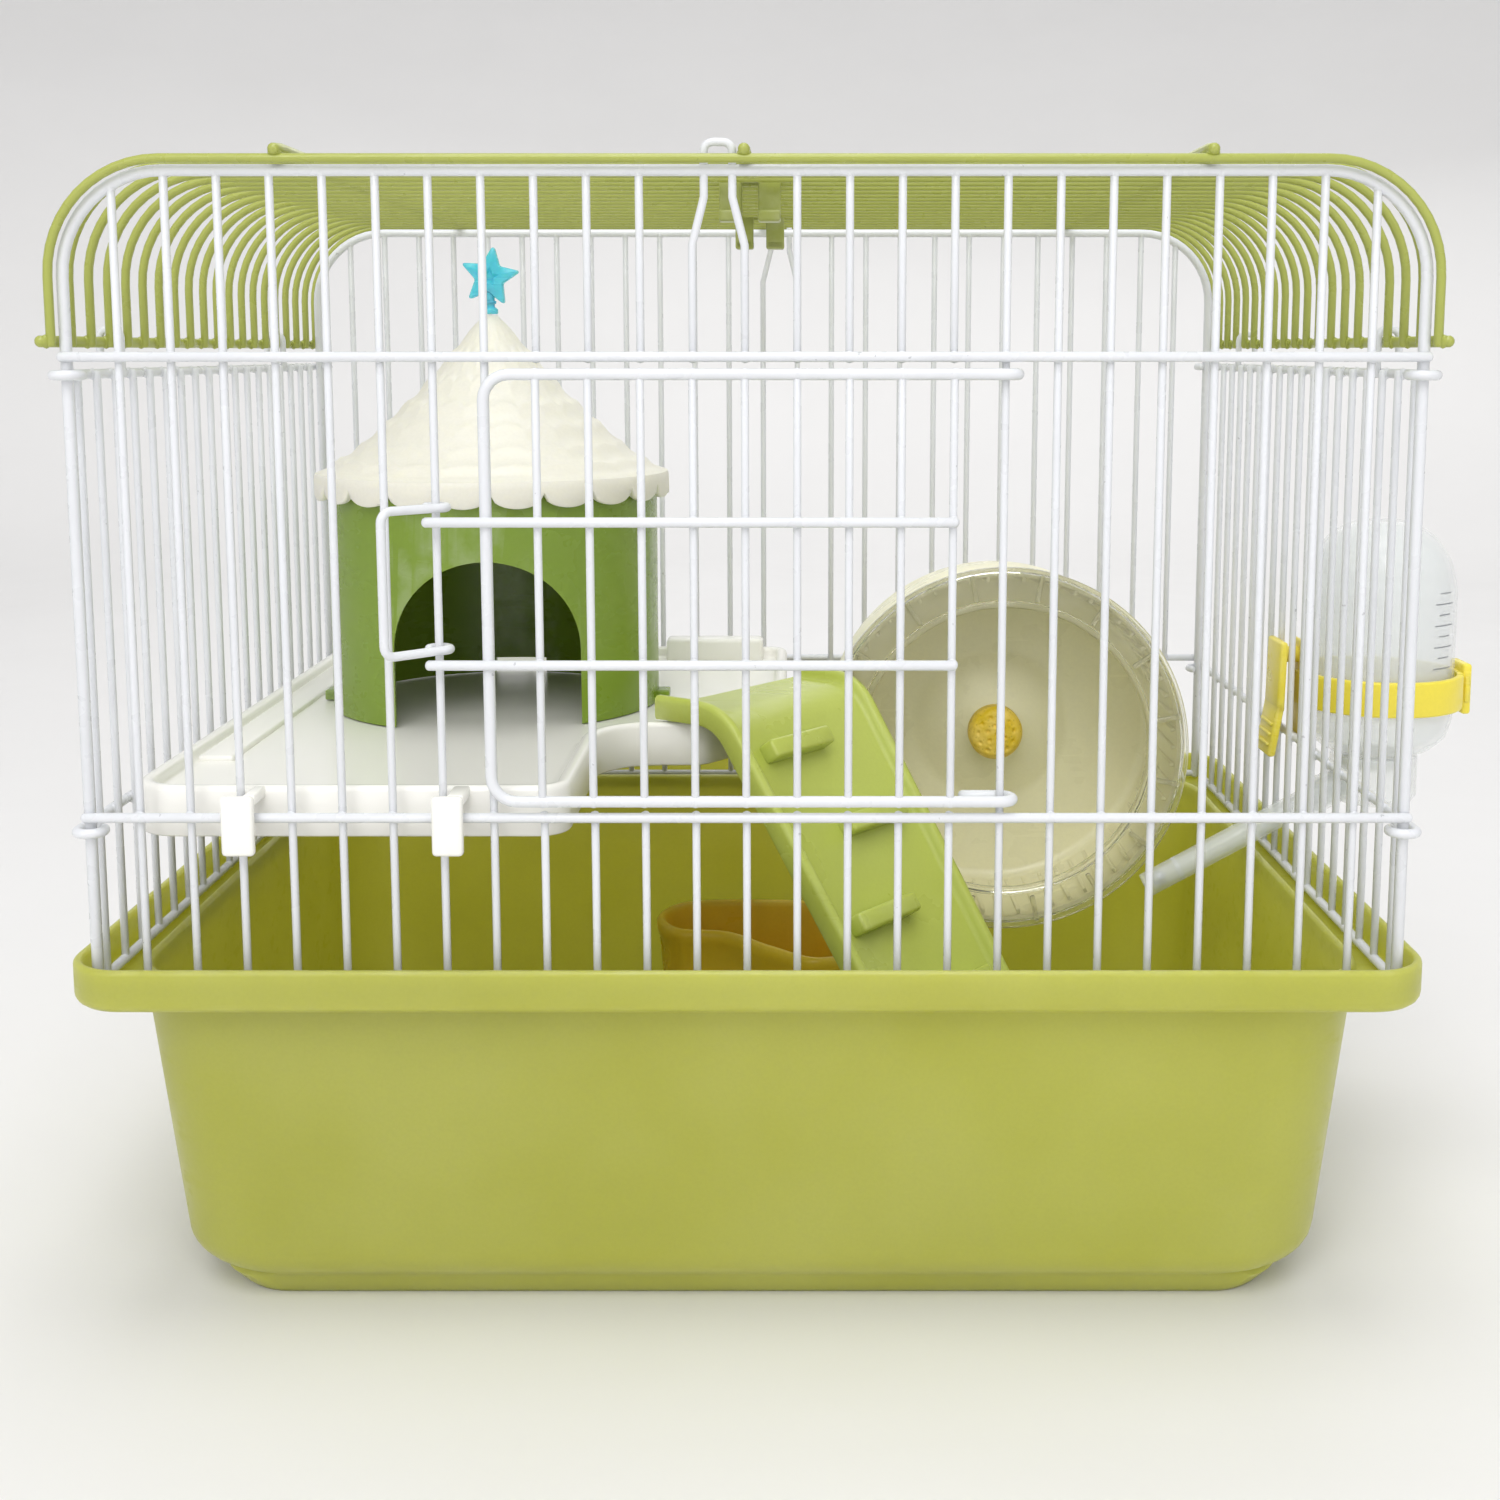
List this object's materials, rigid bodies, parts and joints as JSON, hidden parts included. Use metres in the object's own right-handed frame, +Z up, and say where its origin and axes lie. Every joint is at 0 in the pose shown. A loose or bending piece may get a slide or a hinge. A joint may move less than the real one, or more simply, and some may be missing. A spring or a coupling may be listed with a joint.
{
  "type": "hamster cage",
  "caption": "Small wire pet cage on a deep plastic tray, with hinged door, platform, round house, ladder, running wheel, bowl and drinking bottle.",
  "frame": {"origin": "centre of the flat foot under the tray, on the surface that the cage stands on", "axes": "+Z up, the front with the door faces -Y, +X to the right, where the bottle hangs"},
  "size_m": [0.3123, 0.2032, 0.2431],
  "materials": {
    "tray_plastic": "satin moulded polypropylene, olive green",
    "white_wire": "white powder-coated steel wire",
    "green_wire": "green powder-coated steel wire",
    "handle_plastic": "satin green",
    "ivory_plastic": "satin ivory",
    "house_plastic": "glossy leaf green",
    "star_plastic": "translucent cyan",
    "ladder_plastic": "satin lime green",
    "bowl_plastic": "satin orange",
    "cream_plastic": "satin cream",
    "clear_plastic": "clear moulded polystyrene",
    "amber_plastic": "biscuit-textured amber",
    "steel": "plain steel",
    "seal_rubber": "white rubber",
    "yellow_plastic": "satin yellow"
  },
  "bodies": {
    "tray": {"tray": "tray_plastic"},
    "cage": {"front_panel": "white_wire", "back_panel": "white_wire", "left_panel": "white_wire", "right_panel": "white_wire", "roof_grille": "green_wire", "platform": "ivory_plastic", "house_body": "house_plastic", "house_roof": "ivory_plastic", "roof_star": "star_plastic", "ladder": "ladder_plastic", "wheel_axle": "steel", "wheel_bracket": "cream_plastic", "wheel_nut": "cream_plastic", "bottle": "clear_plastic", "bottle_cap": "clear_plastic", "cap_seal": "seal_rubber", "bottle_spout": "clear_plastic", "bottle_holder": "yellow_plastic", "holder_inner_plate": "yellow_plastic"},
    "bowl": {"food_bowl": "bowl_plastic"},
    "door": {"door": "white_wire"},
    "latch": {"door_latch": "white_wire"},
    "wheel": {"wheel_drum": "cream_plastic", "wheel_front_ring": "clear_plastic", "wheel_hub_cap": "amber_plastic"},
    "handle": {"carry_handle": "handle_plastic"},
    "ball": {"spout_ball": "steel"}
  },
  "joints": [
    {"name": "cage_lift", "type": "slide", "parent": "tray", "child": "cage", "axis": [0, 0, 1], "range_m": [0, 0.1]},
    {"name": "bowl_lift", "type": "slide", "parent": "tray", "child": "bowl", "axis": [0, 0, 1], "range_m": [0, 0.008]},
    {"name": "door_swing", "type": "hinge", "parent": "cage", "child": "door", "pos_m": [0.05, -0.0925, 0.154], "axis": [0, 0, 1], "range_deg": [0, 140]},
    {"name": "latch_swing", "type": "hinge", "parent": "cage", "child": "latch", "pos_m": [-0.06, -0.0925, 0.1562], "axis": [0, 0, 1], "range_deg": [-35, 90]},
    {"name": "wheel_spin", "type": "hinge", "parent": "cage", "child": "wheel", "pos_m": [0.064, 0.04, 0.097], "axis": [0, 1, 0], "continuous": true},
    {"name": "handle_lift", "type": "slide", "parent": "cage", "child": "handle", "axis": [0, 0, 1], "range_m": [0, 0.005]},
    {"name": "ball_push", "type": "slide", "parent": "cage", "child": "ball", "axis": [0.8747, 0, 0.4847], "range_m": [0, 0.002]}
  ]
}
